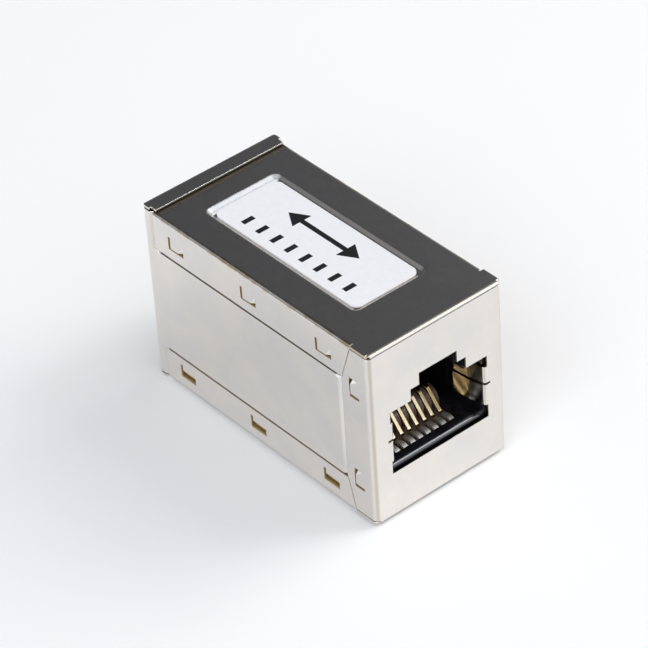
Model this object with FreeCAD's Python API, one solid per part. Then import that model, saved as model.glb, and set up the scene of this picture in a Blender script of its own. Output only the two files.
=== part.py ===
"""Shielded RJ45 inline coupler: two modular jacks back to back in a folded shield.

Frame: X across, Y along the plug axis, Z up. The origin is the bottom centre of the
coupler. The front port faces -Y and the rear port faces +Y, both with the latch slot up.
All sizes are in millimetres.
"""
import FreeCAD, Part
import math
import os

from FreeCAD import Vector

# ---- Shield: overall
SHELL_WIDTH = 17.2
SHELL_LENGTH = 34.6
SHELL_HEIGHT = 21.0
SHEET = 0.3
LAYER_GAP = 0.03
FACE_TOP_BEND = 0.5
FACE_SIDE_BEND = 0.75
PANEL_SIDE_BEND = 0.45
TOP_CORNER_RELIEF = 0.16
LOW_CORNER_RELIEF = 0.3
RELIEF_DEPTH = 0.5

# ---- Shield: flaps of the front shell
TOP_FLAP = 4.46
BOTTOM_FLAP = 3.84
SIDE_SLIT = 0.22
FRONT_FLAP = 4.16
FLAP_REAR_SETBACK = 1.75
MITRE_TOP = 2.75
MITRE_BOTTOM = 3.18
MITRE_GAP = 0.1
PANEL_EDGE_GAP = 0.1
JOINT_GAP = 0.05

# ---- Shield: side panels of the rear shell
JOGGLE = 0.58
REAR_JOGGLE = 0.35
SLIT_REAR_SETBACK = 2.35
TONGUE = 3.0
PANEL_CLEARANCE = 0.12
STRIP_LENGTH = 2.15
STRIP_CORNER = 0.5

# ---- Shield: lanced locking tabs
TAB_PITCH = 11.3
TAB_MIDDLE = 0.75
TAB_WIDTH = 2.35
TAB_LENGTH = 1.5
TOP_TAB_DROP = 1.8
BOTTOM_TAB_RISE = 1.4
FRONT_TAB_WIDTH = 2.3
FRONT_TAB_LENGTH = 1.4
FRONT_TAB_SETBACK = 1.7
FRONT_TAB_LOW = 3.45
FRONT_TAB_HIGH = 14.75
TAB_SLOT = 0.32
TAB_SLIT = 0.14
TAB_PUSH = 0.26
TAB_CREASE = 0.9
TAB_HINGE = 0.6
LATCH_WINDOW_MARGIN = 0.12

# ---- Shield: label recess
RECESS_DEPTH = 0.35
RECESS_WALL = 0.45
RECESS_CORNER = 0.8
RECESS_MIDDLE = 0.45
LABEL_WIDTH = 8.3
LABEL_LENGTH = 21.7
LABEL_CORNER = 0.9
LABEL_THICKNESS = 0.1
LABEL_SIDE_GAP = 0.15
LABEL_END_GAP = 0.25

# ---- Port cut-out in each face, heights from the shell's underside
PORT_WIDTH = 12.6
PORT_FLOOR = 5.45
PORT_SHOULDER = 13.05
LATCH_WIDE = 7.15
LATCH_STEP = 14.43
LATCH_NARROW = 4.9
LATCH_TOP = 15.82

# ---- Spring fingers at the sides of the cut-out
FINGER_LOW = 6.95
FINGER_HIGH = 11.7
FINGER_SLIT = 0.26
FINGER_SLIT_HEIGHT = 9.6
FINGER_SLIT_REACH = 0.35
FINGER_BEND = 0.4
FINGER_FIRST = 1.7
FINGER_FIRST_LEAN = 0.42
FINGER_SECOND = 2.1
FINGER_SECOND_LEAN = 0.2
FINGER_CURL = 0.5
FINGER_CURL_OUT = 0.45

# ---- Jack housing
PLUG_WIDTH = 11.68
PLUG_CLEARANCE = 0.11
CAVITY_DEPTH = 13.4
CAVITY_FLOOR = 5.8
CAVITY_CEILING = 12.8
HOUSING_CLEARANCE = 0.06
LIP_RADIUS = 1.0
LIP_DEPTH = 1.5
FINGER_POCKET = 0.95
FINGER_POCKET_DEPTH = 5.6
POCKET_MARGIN = 0.2
CORING_WIDTH = 2.9
CORING_HEIGHT = 2.2
CORING_WALL = 0.9
CORING_COUNT = 4

# ---- Contacts and the comb that carries them
CONTACTS = 8
CONTACT_PITCH = 1.016
CONTACT_WIDTH = 0.36
CONTACT_NOSE_WIDTH = 0.58
CONTACT_NECK = 1.3
CONTACT_THICKNESS = 0.34
CONTACT_LOW = 3.4
CONTACT_TURN = 0.8
CONTACT_CROWN = 5.4
CONTACT_DIP = 0.4
CONTACT_DIP_PLACE = 1.95
CONTACT_ANGLE = 48
CONTACT_RISE = 2.1
CONTACT_TIP = 0.9
CONTACT_BEND = 0.6
TAIL_ROW = 1.8
TAIL_JOG_PLACE = 11.5
TAIL_PROUD = 0.55
COMB_CLEARANCE = 0.05
COMB_SIDE = 0.75
COMB_LOW = 0.55
COMB_NOSE_GAP = 0.12
COMB_NOSE = 0.6
COMB_SHELF = 4.75
COMB_REAR = 5.0
HUMP_RADIUS = 1.55
HUMP_PLACE = 4.62
HUMP_HEIGHT = 7.05
SOLDER_SPACE = 1.0

# ---- Circuit board
BOARD_THICKNESS = 1.6
BOARD_HOLE = 0.72

# ---- Places that follow from the sizes above
BASE = SHEET + LAYER_GAP
HALF_WIDTH = SHELL_WIDTH / 2
HALF_LENGTH = SHELL_LENGTH / 2
SHELL_TOP = BASE + SHELL_HEIGHT
OVERALL_TOP = SHELL_TOP + LAYER_GAP + SHEET
FACE = -HALF_LENGTH
FLAP_REAR = HALF_LENGTH - FLAP_REAR_SETBACK
INNER_LAYER = HALF_WIDTH - SHEET - LAYER_GAP
TOP_SLIT_EDGE = SHELL_TOP - TOP_FLAP
BOTTOM_SLIT_EDGE = BASE + BOTTOM_FLAP
FLAP_EDGE = FACE + FRONT_FLAP
HOUSING_FRONT = FACE + SHEET + HOUSING_CLEARANCE
HOUSING_BACK = -BOARD_THICKNESS / 2 - LAYER_GAP
HOUSING_HALF = INNER_LAYER - SHEET - HOUSING_CLEARANCE
HOUSING_LOW = BASE + SHEET + HOUSING_CLEARANCE
HOUSING_HIGH = SHELL_TOP - SHEET - RECESS_DEPTH - HOUSING_CLEARANCE
CAVITY_HALF = PLUG_WIDTH / 2 + PLUG_CLEARANCE
FINGER_FACE = PORT_WIDTH / 2 - FINGER_BEND
CAVITY_BACK = FACE + CAVITY_DEPTH
COMB_FRONT = HOUSING_FRONT + LIP_DEPTH + COMB_NOSE_GAP
COMB_HALF = (CONTACTS - 1) / 2 * CONTACT_PITCH + COMB_SIDE
CONTACT_FRONT = COMB_FRONT + CONTACT_THICKNESS / 2
RECESS_WIDTH = LABEL_WIDTH + 2 * (RECESS_WALL + LABEL_SIDE_GAP)
RECESS_LENGTH = LABEL_LENGTH + 2 * (RECESS_WALL + LABEL_END_GAP)


def block(xs, ys, zs):
    """Box between the low and high values of each axis."""
    corner = Vector(xs[0], ys[0], zs[0])
    return Part.makeBox(xs[1] - xs[0], ys[1] - ys[0], zs[1] - zs[0], corner)


def both_sides(shape):
    """The shape together with its mirror image across the middle plane."""
    return [shape, shape.mirror(Vector(0, 0, 0), Vector(1, 0, 0))]


def turned(shape):
    """The shape turned half a turn about Z, from the front end to the rear end."""
    other = shape.copy()
    other.rotate(Vector(0, 0, 0), Vector(0, 0, 1), 180)
    return other


def polygon_prism(points, depth):
    """Extrude a closed polygon of 3-D points by a vector."""
    outline = Part.makePolygon(points + points[:1])
    return Part.Face(outline).extrude(depth)


def side_prism(outline, xs):
    """Extrude an outline of (y, z) points from one x to another."""
    points = [Vector(xs[0], y, z) for y, z in outline]
    return polygon_prism(points, Vector(xs[1] - xs[0], 0, 0))


def rounded(shape, radius, chosen):
    """Fillet the edges of a shape that the test picks out."""
    edges = [edge for edge in shape.Edges if chosen(edge.BoundBox)]
    return shape.makeFillet(radius, edges)


def runs_along(axis):
    """Test for edges parallel to one axis."""
    lengths = {"x": "XLength", "y": "YLength", "z": "ZLength"}
    across = [name for key, name in lengths.items() if key != axis]
    return lambda box: all(getattr(box, name) < 1e-6 for name in across)


def at_front(test, y):
    """Narrow an edge test to the edges that lie at one y."""
    return lambda box: test(box) and abs(box.YMin - y) < 1e-6


def ribbon(path, radii, thickness):
    """Closed outline of a strip of even thickness along a bent path.

    path holds (u, v) points, radii the middle radius of the bend at each inner point.
    Returns a list of edges in the (u, v) plane, as (kind, points) pairs.
    """
    sides = []
    for side in (1, -1):
        shift = side * thickness / 2
        corners = []
        for index, (u, v) in enumerate(path):
            if index == 0 or index == len(path) - 1:
                near = path[1] if index == 0 else path[index - 1]
                sign = 1 if index == 0 else -1
                run = math.hypot(near[0] - u, near[1] - v)
                along = (sign * (near[0] - u) / run, sign * (near[1] - v) / run)
                corners.append([(u - along[1] * shift, v + along[0] * shift)])
                continue
            corners.append(_bend(path[index - 1], path[index], path[index + 1],
                                 radii[index - 1], shift))
        sides.append(corners)
    left = _chain(sides[0])
    right = [(kind, points[::-1]) for kind, points in reversed(_chain(sides[1]))]
    close = ("line", [left[-1][1][-1], right[0][1][0]])
    shut = ("line", [right[-1][1][-1], left[0][1][0]])
    return left + [close] + right + [shut]


def _bend(before, here, after, radius, shift):
    """Start, middle and end of the arc that an offset strip edge makes at one point.

    A bend of no radius gives the single corner point.
    """
    d1 = _unit(before, here)
    d2 = _unit(here, after)
    turn = math.atan2(d1[0] * d2[1] - d1[1] * d2[0], d1[0] * d2[0] + d1[1] * d2[1])
    if not radius:
        slide = shift * math.tan(turn / 2)
        return [(here[0] - d1[1] * shift - d1[0] * slide, here[1] + d1[0] * shift - d1[1] * slide)]
    reach = radius * math.tan(abs(turn) / 2)
    sign = 1 if turn > 0 else -1
    start = (here[0] - d1[0] * reach, here[1] - d1[1] * reach)
    centre = (start[0] - sign * d1[1] * radius, start[1] + sign * d1[0] * radius)
    inner = radius - sign * shift
    angles = [math.atan2(start[1] - centre[1], start[0] - centre[0])]
    angles += [angles[0] + turn / 2, angles[0] + turn]
    return [(centre[0] + inner * math.cos(a), centre[1] + inner * math.sin(a)) for a in angles]


def _unit(start, end):
    """Unit direction from one (u, v) point to another."""
    run = math.hypot(end[0] - start[0], end[1] - start[1])
    return ((end[0] - start[0]) / run, (end[1] - start[1]) / run)


def _chain(corners):
    """Lines and arcs that join the corner groups of one strip edge."""
    parts = []
    for index, corner in enumerate(corners):
        if index:
            parts.append(("line", [corners[index - 1][-1], corner[0]]))
        if len(corner) == 3:
            parts.append(("arc", corner))
    return parts


def strip_solid(path, radii, thickness, place, depth):
    """Extrude a ribbon: place maps (u, v) to a point and depth is the extrusion."""
    edges = []
    for kind, points in ribbon(path, radii, thickness):
        ends = [place(u, v) for u, v in points]
        if kind == "arc":
            edges.append(Part.Arc(*ends).toShape())
        else:
            edges.append(Part.LineSegment(*ends).toShape())
    return Part.Face(Part.Wire(edges)).extrude(depth)


def rounded_plate(width, length, corner, z, middle=0.0):
    """Flat wire of a rounded rectangle that lies at one height."""
    plate = block((-width / 2, width / 2), (middle - length / 2, middle + length / 2), (z, z + 1))
    plate = rounded(plate, corner, runs_along("z"))
    low = min(plate.Faces, key=lambda face: face.CenterOfMass.z)
    return low.OuterWire


# ---------------------------------------------------------------- shield: shared forms
def port_cutout(low, high, depth):
    """Stepped opening of the port, cut through between two depths from the face."""
    def step(width, z0, z1):
        return block((-width / 2, width / 2), (FACE + low, FACE + high), (BASE + z0, BASE + z1))
    body = step(PORT_WIDTH, PORT_FLOOR, PORT_SHOULDER)
    wide = step(LATCH_WIDE, PORT_SHOULDER - depth, LATCH_STEP)
    narrow = step(LATCH_NARROW, LATCH_STEP - depth, LATCH_TOP)
    return body.fuse([wide, narrow]).removeSplitter()


def spring_fingers():
    """Two spring fingers folded back from each side of the cut-out."""
    centre = SHEET / 2
    start = PORT_WIDTH / 2 + 0.2
    inner = FINGER_FACE + centre
    first_end = SHEET + FINGER_FIRST
    second_end = first_end + FINGER_SECOND
    path = [
        (start, centre),
        (inner, centre),
        (inner - FINGER_FIRST_LEAN, first_end),
        (inner - FINGER_FIRST_LEAN - FINGER_SECOND_LEAN, second_end),
        (inner - FINGER_FIRST_LEAN - FINGER_SECOND_LEAN + FINGER_CURL_OUT, second_end + FINGER_CURL),
    ]
    radii = [FINGER_BEND - centre, 2.0, 0.35]
    low = BASE + FINGER_LOW
    middle = BASE + FINGER_SLIT_HEIGHT
    high = BASE + FINGER_HIGH
    fingers = []
    for z0, z1 in ((low, middle - FINGER_SLIT / 2), (middle + FINGER_SLIT / 2, high)):
        fingers += both_sides(strip_solid(
            path, radii, SHEET, lambda u, v: Vector(u, FACE + v, z0), Vector(0, 0, z1 - z0)))
    return fingers


def finger_slits():
    """Slit that splits each pair of fingers and runs a little way into the face."""
    reach = PORT_WIDTH / 2 + FINGER_SLIT_REACH
    middle = BASE + FINGER_SLIT_HEIGHT
    slit = block((FINGER_FACE - 1, reach), (FACE - 1, FACE + 1),
                 (middle - FINGER_SLIT / 2, middle + FINGER_SLIT / 2))
    return both_sides(slit)


# ---------------------------------------------------------------- lanced locking tabs
def lance(origin, along, down, out, width, length):
    """Cut and tab of one lanced corner tab.

    along runs with the hinge from the slot to the pushed corner, down from the hinge to
    the free edge, out is the outward normal of the sheet. Returns (cut solids, tab solid).
    """
    def at(u, v, n=0.0):
        return origin + along * u + down * v + out * n

    def slot(u0, u1, v0, v1):
        corners = [at(u0, v0, 1), at(u1, v0, 1), at(u1, v1, 1), at(u0, v1, 1)]
        return polygon_prism(corners, out * -(1 + SHEET + 0.01))

    free = length - TAB_SLIT
    crease_low = at(width - TAB_CREASE, free)
    crease_high = at(width, TAB_SLIT)
    corner = polygon_prism([p + out for p in (crease_low, crease_high, at(width, free))],
                           out * -(1 + SHEET + 0.01))
    pushed = at(width - TAB_SLIT, free - TAB_SLIT, -TAB_PUSH)
    tab = polygon_prism([crease_low, crease_high, pushed], out * -SHEET)
    return [slot(0, TAB_SLOT, 0, length), slot(0, width, free, length), corner], tab


def bent_lance(origin, along, down, out, width, length):
    """Cut and tab of one lanced tab that is bent in along a hinge part of the way down."""
    def at(u, v, n=0.0):
        return origin + along * u + down * v + out * n

    corners = [at(0, 0, 1), at(TAB_SLOT, 0, 1), at(TAB_SLOT, TAB_HINGE, 1), at(width, TAB_HINGE, 1),
               at(width, length, 1), at(0, length, 1)]
    cut = polygon_prism(corners, out * -(1 + SHEET + 0.01))
    free = length - 2 * TAB_SLIT
    tab = polygon_prism([at(TAB_SLOT, TAB_HINGE), at(TAB_SLOT, free, -TAB_PUSH),
                         at(TAB_SLOT, free, -TAB_PUSH - SHEET), at(TAB_SLOT, TAB_HINGE, -SHEET)],
                        along * (width - TAB_SLOT))
    return [cut], tab


def tab_places():
    """Every tab on the right-hand side, as (maker, origin, along, down, width, length)."""
    x = HALF_WIDTH
    forward, back = Vector(0, -1, 0), Vector(0, 1, 0)
    up, downward = Vector(0, 0, 1), Vector(0, 0, -1)
    places = []
    for step in (-1, 0, 1):
        y = TAB_MIDDLE + step * TAB_PITCH + TAB_WIDTH / 2
        top = Vector(x, y, SHELL_TOP - TOP_TAB_DROP)
        low = Vector(x, y, BASE + BOTTOM_TAB_RISE + TAB_LENGTH)
        places.append((lance, top, forward, downward, TAB_WIDTH, TAB_LENGTH))
        places.append((bent_lance, low, forward, downward, TAB_WIDTH, TAB_LENGTH))
    for height in (FRONT_TAB_LOW, FRONT_TAB_HIGH):
        hinge = Vector(x, FACE + FRONT_TAB_SETBACK, BASE + height)
        places.append((lance, hinge, up, back, FRONT_TAB_WIDTH, FRONT_TAB_LENGTH))
    return places


def latch_windows():
    """Windows in the inner layer that the pushed-in tabs lock into, on the right side."""
    margin = LATCH_WINDOW_MARGIN
    windows = []
    for _, origin, along, down, width, length in tab_places():
        corner = origin - (along + down) * margin + Vector(0.1, 0, 0)
        spans = [corner, corner + along * (width + 2 * margin)]
        spans += [spans[1] + down * (length + 2 * margin), spans[0] + down * (length + 2 * margin)]
        windows.append(polygon_prism(spans, Vector(HOUSING_HALF - corner.x, 0, 0)))
    return windows


# ---------------------------------------------------------------- front shell
def front_envelope(inset):
    """Outer form of the front shell, or the space inside it when inset by the sheet."""
    xs = (-HALF_WIDTH + inset, HALF_WIDTH - inset)
    ys = (FACE + inset, HALF_LENGTH + inset)
    zs = (BASE + inset, SHELL_TOP - inset)
    long_edges = rounded(block(xs, ys, zs), PANEL_SIDE_BEND - inset, runs_along("y"))
    wide_edges = rounded(block(xs, ys, zs), FACE_TOP_BEND - inset,
                         at_front(runs_along("x"), ys[0]))
    tall_edges = rounded(block(xs, ys, zs), FACE_SIDE_BEND - inset,
                         at_front(runs_along("z"), ys[0]))
    return long_edges.common(wide_edges).common(tall_edges)


def front_side_cuts():
    """What the right side of the folded front sheet leaves open."""
    xs = (HALF_WIDTH - SHEET - 0.01, HALF_WIDTH + 1)
    deep = (HALF_WIDTH - FACE_SIDE_BEND, HALF_WIDTH + 1)
    between = side_prism([(FLAP_EDGE, BOTTOM_SLIT_EDGE), (HALF_LENGTH + 1, BOTTOM_SLIT_EDGE),
                          (HALF_LENGTH + 1, TOP_SLIT_EDGE), (FLAP_EDGE, TOP_SLIT_EDGE)], xs)
    behind = block(deep, (FLAP_REAR, HALF_LENGTH + 1), (BASE - 1, SHELL_TOP + 1))
    top_mitre = [(FACE + MITRE_TOP - MITRE_GAP, SHELL_TOP + 1), (FACE + MITRE_TOP, SHELL_TOP + 1),
                 (FACE + MITRE_TOP, SHELL_TOP - SHEET), (FLAP_EDGE, TOP_SLIT_EDGE),
                 (FLAP_EDGE, TOP_SLIT_EDGE - JOINT_GAP),
                 (FLAP_EDGE - JOINT_GAP, TOP_SLIT_EDGE - JOINT_GAP),
                 (FACE + MITRE_TOP - MITRE_GAP, SHELL_TOP - SHEET)]
    low_mitre = [(FACE + MITRE_BOTTOM - MITRE_GAP, BASE - 1), (FACE + MITRE_BOTTOM, BASE - 1),
                 (FACE + MITRE_BOTTOM, BASE + SHEET), (FLAP_EDGE, BOTTOM_SLIT_EDGE),
                 (FLAP_EDGE, BOTTOM_SLIT_EDGE + MITRE_GAP),
                 (FLAP_EDGE - MITRE_GAP, BOTTOM_SLIT_EDGE + MITRE_GAP),
                 (FACE + MITRE_BOTTOM - MITRE_GAP, BASE + SHEET)]
    release = (HALF_WIDTH - PANEL_SIDE_BEND - 0.1, HALF_WIDTH + 1)
    top_release = block(release, (FACE - 1, FACE + MITRE_TOP - JOINT_GAP),
                        (SHELL_TOP - SHEET - PANEL_EDGE_GAP, SHELL_TOP - SHEET))
    low_release = block(release, (FACE - 1, FACE + MITRE_BOTTOM - JOINT_GAP),
                        (BASE + SHEET, BASE + SHEET + PANEL_EDGE_GAP))
    bends = (HALF_WIDTH - PANEL_SIDE_BEND, HALF_WIDTH + 1)
    return [between, behind, side_prism(top_mitre, bends), side_prism(low_mitre, bends),
            top_release, low_release]


def corner_hole(radius, x, y, z, depth):
    """Hole bored level into a corner of the face, from outside to a depth past a point."""
    into = Vector(-math.copysign(1, x), -math.copysign(1, y), 0).normalize()
    return Part.makeCylinder(radius, 1 + depth, Vector(x, y, z) - into, into)


def corner_reliefs():
    """Relief holes where three sheets meet at the corners of the face."""
    inset = SHEET / 2
    high = corner_hole(TOP_CORNER_RELIEF, HALF_WIDTH - inset, FACE + inset, SHELL_TOP - SHEET,
                       RELIEF_DEPTH)
    low = corner_hole(LOW_CORNER_RELIEF, HALF_WIDTH, FACE, BASE, LOW_CORNER_RELIEF)
    return both_sides(high) + both_sides(low)


def panel_front_edges():
    """Flat side edges of the top and bottom panels ahead of the flaps."""
    xs = (HALF_WIDTH - 2 * PANEL_SIDE_BEND, HALF_WIDTH)
    top = block(xs, (FACE + FACE_TOP_BEND, FACE + MITRE_TOP - MITRE_GAP),
                (SHELL_TOP - SHEET, SHELL_TOP))
    low = block(xs, (FACE + FACE_TOP_BEND, FACE + MITRE_BOTTOM - MITRE_GAP),
                (BASE, BASE + SHEET))
    return both_sides(top) + both_sides(low)


def label_recess():
    """Embossed recess: (boss under the top panel, dish cut into it)."""
    def bowl(z, grow):
        wide = rounded_plate(RECESS_WIDTH + grow, RECESS_LENGTH + grow, RECESS_CORNER + grow / 2,
                             z, RECESS_MIDDLE)
        deep = rounded_plate(RECESS_WIDTH - 2 * RECESS_WALL + grow,
                             RECESS_LENGTH - 2 * RECESS_WALL + grow,
                             RECESS_CORNER - RECESS_WALL + grow / 2,
                             z - RECESS_DEPTH, RECESS_MIDDLE)
        return Part.makeLoft([wide, deep], True, True)
    return bowl(SHELL_TOP - SHEET, SHEET), bowl(SHELL_TOP, 0)


def make_front_shell():
    """Front face, top and bottom panels and side flaps, folded from one sheet."""
    shell = front_envelope(0).cut(front_envelope(SHEET))
    shell = shell.cut(sum([both_sides(cut) for cut in front_side_cuts()], []))
    shell = shell.fuse(panel_front_edges())
    shell = shell.cut(block((-HALF_WIDTH, HALF_WIDTH), (HALF_LENGTH - FACE_TOP_BEND, HALF_LENGTH + 1),
                            (BASE - 1, SHELL_TOP + 1)))
    shell = shell.cut(port_cutout(-1, SHEET + 0.5, 0.1))
    shell = shell.fuse(spring_fingers()).cut(finger_slits())
    boss, dish = label_recess()
    shell = shell.fuse(boss).cut([dish] + corner_reliefs())
    cuts, tabs = [], []
    for maker, origin, along, down, width, length in tab_places():
        openings, tab = maker(origin, along, down, Vector(1, 0, 0), width, length)
        for opening in openings:
            cuts += both_sides(opening)
        tabs += both_sides(tab)
    return shell.cut(cuts).fuse(tabs).removeSplitter()


# ---------------------------------------------------------------- rear shell
def rear_cap():
    """Rear face with its bends, the top and bottom strips and the rear of the sides."""
    def envelope(inset):
        xs = (-HALF_WIDTH + inset, HALF_WIDTH - inset)
        ys = (HALF_LENGTH - STRIP_LENGTH - inset, HALF_LENGTH - inset)
        zs = (inset, OVERALL_TOP - inset)
        wide = rounded(block(xs, ys, zs), FACE_TOP_BEND - inset, at_front(runs_along("x"), ys[1]))
        tall = rounded(block(xs, ys, zs), FACE_SIDE_BEND - inset, at_front(runs_along("z"), ys[1]))
        return wide.common(tall)
    cap = envelope(0).cut(envelope(SHEET))
    side = (HALF_WIDTH - SHEET - 0.01, HALF_WIDTH + 1)
    front = HALF_LENGTH - STRIP_LENGTH - 1
    cuts = [block(side, (front, FLAP_REAR + JOINT_GAP + REAR_JOGGLE), (-1, OVERALL_TOP + 1))]
    release = (front, HALF_LENGTH - FACE_TOP_BEND)
    for z0, z1 in ((SHELL_TOP - PANEL_CLEARANCE, OVERALL_TOP - SHEET),
                   (SHEET, BASE + PANEL_CLEARANCE)):
        cuts.append(block((HALF_WIDTH - FACE_SIDE_BEND, HALF_WIDTH + 1), release, (z0, z1)))
    cap = cap.cut(sum([both_sides(cut) for cut in cuts], []))
    strip_front = HALF_LENGTH - STRIP_LENGTH
    for z0 in (-0.5, OVERALL_TOP - 0.5):
        lead = block((HALF_WIDTH - STRIP_CORNER, HALF_WIDTH + 1),
                     (strip_front - 1, strip_front + STRIP_CORNER), (z0, z0 + 1))
        round_end = Part.makeCylinder(STRIP_CORNER, 1, Vector(
            HALF_WIDTH - STRIP_CORNER, strip_front + STRIP_CORNER, z0))
        cap = cap.cut(both_sides(lead.cut(round_end)))
    return cap


def side_panel():
    """Right side panel: centre in the outer plane, margins joggled in under the flaps."""
    outer = (HALF_WIDTH - SHEET, HALF_WIDTH)
    inner = (INNER_LAYER - SHEET, INNER_LAYER)
    low = BASE + SHEET + PANEL_CLEARANCE
    high = SHELL_TOP - SHEET - PANEL_CLEARANCE
    centre_z = (BOTTOM_SLIT_EDGE + SIDE_SLIT, TOP_SLIT_EDGE - SIDE_SLIT)
    ramp_front = FLAP_EDGE + JOGGLE
    ramp_rear = FLAP_REAR + JOINT_GAP
    rear_plane = ramp_rear + REAR_JOGGLE
    slit_rear = HALF_LENGTH - SLIT_REAR_SETBACK
    tongue_front = FACE + TONGUE - FACE_SIDE_BEND

    def ramp(y_outer, y_inner, zs):
        corners = [Vector(outer[0], y_outer, zs[0]), Vector(outer[1], y_outer, zs[0]),
                   Vector(inner[1], y_inner, zs[0]), Vector(inner[0], y_inner, zs[0])]
        return polygon_prism(corners, Vector(0, 0, zs[1] - zs[0]))

    pieces = [block(outer, (ramp_front, rear_plane + REAR_JOGGLE), centre_z),
              ramp(ramp_front, FLAP_EDGE, centre_z),
              block(inner, (tongue_front, FLAP_EDGE), (low, high))]
    for zs in ((low, BOTTOM_SLIT_EDGE), (TOP_SLIT_EDGE, high)):
        pieces.append(block(inner, (FLAP_EDGE, ramp_rear), zs))
    pieces.append(ramp(rear_plane, ramp_rear, (BASE + PANEL_CLEARANCE, BOTTOM_SLIT_EDGE)))
    pieces.append(ramp(rear_plane, ramp_rear, (TOP_SLIT_EDGE, SHELL_TOP - PANEL_CLEARANCE)))
    for zs in ((centre_z[1], TOP_SLIT_EDGE), (BOTTOM_SLIT_EDGE, centre_z[0])):
        pieces.append(block(outer, (slit_rear, rear_plane + REAR_JOGGLE), zs))
    panel = pieces[0].fuse(pieces[1:])
    return panel.cut(latch_windows())


def make_rear_shell():
    """Rear face, strips and side panels, folded from one sheet."""
    shell = rear_cap().fuse(sum([[panel] for panel in both_sides(side_panel())], []))
    shell = shell.cut(turned(port_cutout(-1, SHEET + 0.5, 0.1)))
    shell = shell.fuse([turned(finger) for finger in spring_fingers()])
    return shell.cut([turned(slit) for slit in finger_slits()]).removeSplitter()


# ---------------------------------------------------------------- jack: contacts
def contact_x(index):
    """Place across of one contact, counted from the left of the front port."""
    return (index - (CONTACTS - 1) / 2) * CONTACT_PITCH


def contact_neck():
    """(y, z) corners of a contact at its crown and dip, and the point where it narrows."""
    crown = Vector(CONTACT_FRONT, BASE + CONTACT_CROWN)
    dip = crown + Vector(CONTACT_DIP_PLACE, -CONTACT_DIP)
    return crown, dip, crown + (dip - crown).normalize() * CONTACT_NECK


def base_path(index):
    """(y, z) points and bend radii of a contact's wide base, from its tail to its neck."""
    crown, _, neck = contact_neck()
    low = BASE + CONTACT_LOW
    end = BOARD_THICKNESS / 2 + TAIL_PROUD
    path = [(CONTACT_FRONT, low), (crown.x, crown.y), (neck.x, neck.y)]
    radii = [CONTACT_TURN - 0.01, CONTACT_TURN - 0.01]
    tail = [(end, low)]
    if index % 2:
        jog = FACE + TAIL_JOG_PLACE
        tail = [(end, low - TAIL_ROW), (jog + TAIL_ROW, low - TAIL_ROW), (jog, low)]
        radii = [0, 0] + radii
    return tail + path, radii


def spring_path():
    """(y, z) points and bend radii of a contact's narrow spring, from its neck to its tip."""
    _, dip, neck = contact_neck()
    climb = math.tan(math.radians(CONTACT_ANGLE))
    top = (dip.x + CONTACT_RISE, dip.y + CONTACT_RISE * climb)
    tip = (top[0] + CONTACT_TIP, top[1] - CONTACT_TIP * 0.2)
    return [(neck.x, neck.y), (dip.x, dip.y), top, tip], [CONTACT_BEND, CONTACT_BEND]


def make_contact(index):
    """One stamped contact strip, bent from its solder tail to its sprung tip."""
    parts = []
    for (path, radii), width in ((base_path(index), CONTACT_NOSE_WIDTH),
                                 (spring_path(), CONTACT_WIDTH)):
        x = contact_x(index) - width / 2
        parts.append(strip_solid(path, radii, CONTACT_THICKNESS,
                                 lambda u, v, x=x: Vector(x, u, v), Vector(width, 0, 0)))
    return parts[0].fuse(parts[1])


def contact_room(index):
    """Space that a contact needs in the comb, its slot open to the outside."""
    def across(width):
        half = width / 2 + COMB_CLEARANCE
        return contact_x(index) - half, contact_x(index) + half

    grow = CONTACT_THICKNESS / 2 + COMB_CLEARANCE
    low = BASE + CONTACT_LOW + grow
    high = BASE + COMB_SHELF
    xs = across(CONTACT_NOSE_WIDTH)
    neck = contact_neck()[2].x + COMB_CLEARANCE
    under = block(xs, (FACE, 1), (0, low))
    over = block(across(CONTACT_WIDTH), (FACE, 1), (high, SHELL_TOP))
    wide = block(xs, (FACE, neck), (high, SHELL_TOP))
    nose = CONTACT_FRONT + grow
    ahead = block(xs, (FACE, nose + CONTACT_TURN - grow), (0, high + 1))
    half_bar = (high - low) / 2
    corners = [math.radians(angle) for angle in range(90, 271, 45)]
    front = [(nose + half_bar * (1 + math.cos(a)), low + half_bar * (1 + math.sin(a)))
             for a in corners]
    bar = side_prism(front + [(nose + CONTACT_TURN, low), (nose + CONTACT_TURN, high)], xs)
    return under.fuse([over, wide, ahead.cut(bar)])


# ---------------------------------------------------------------- jack: comb and housing
def comb_outline():
    """Edges of the comb's side view, with its rounded nose and the hump of its ribs."""
    low = BASE + COMB_LOW + SHEET
    shelf = BASE + COMB_SHELF
    rear = BASE + COMB_REAR
    middle = COMB_FRONT + HUMP_PLACE
    start = middle - HUMP_RADIUS
    hump = BASE + HUMP_HEIGHT
    foot = hump - HUMP_RADIUS
    back = HOUSING_BACK - SOLDER_SPACE
    slant = math.sqrt(0.5)

    def point(y, z):
        return Vector(-COMB_HALF, y, z)

    def quarter(y, z, radius):
        return Part.Arc(point(y - radius, z), point(y - radius * slant, z + radius * slant),
                        point(y, z + radius))

    corners = [point(start, shelf), point(start, foot)]
    fall = [point(middle, hump), point(middle + HUMP_RADIUS, rear), point(back, rear),
            point(back, low), point(COMB_FRONT, low), point(COMB_FRONT, shelf - COMB_NOSE)]
    nose_end = point(COMB_FRONT + COMB_NOSE, shelf)
    edges = [quarter(COMB_FRONT + COMB_NOSE, shelf - COMB_NOSE, COMB_NOSE),
             Part.LineSegment(nose_end, corners[0]), Part.LineSegment(*corners),
             quarter(middle, foot, HUMP_RADIUS)]
    edges += [Part.LineSegment(a, b) for a, b in zip(fall, fall[1:])]
    return Part.Wire([edge.toShape() for edge in edges])


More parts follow.
